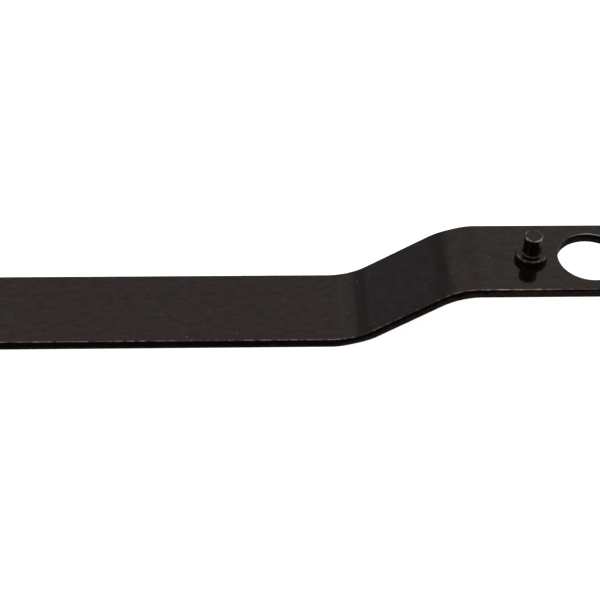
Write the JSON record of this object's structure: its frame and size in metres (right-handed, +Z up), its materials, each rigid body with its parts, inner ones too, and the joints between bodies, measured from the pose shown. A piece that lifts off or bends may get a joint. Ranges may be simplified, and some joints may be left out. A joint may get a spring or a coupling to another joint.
{
  "type": "face pin spanner",
  "caption": "Flat cranked steel bar; its raised round-ended head has a clearance hole between riveted shoulder pins that turn flange nuts, lock rings and case backs by holes in their face.",
  "frame": {"origin": "middle of the bar's outline in plan, on the surface that the handle lies on", "axes": "+X along the bar from the handle to the head, +Y across the bar, +Z up, the way the pins point"},
  "size_m": [0.222, 0.027, 0.0306],
  "materials": {
    "bar_steel": "satin",
    "pin_steel": "satin"
  },
  "bodies": {
    "root": {"offset_bar": "bar_steel", "handle_side_pin": "pin_steel", "tip_side_pin": "pin_steel"}
  },
  "joints": []
}
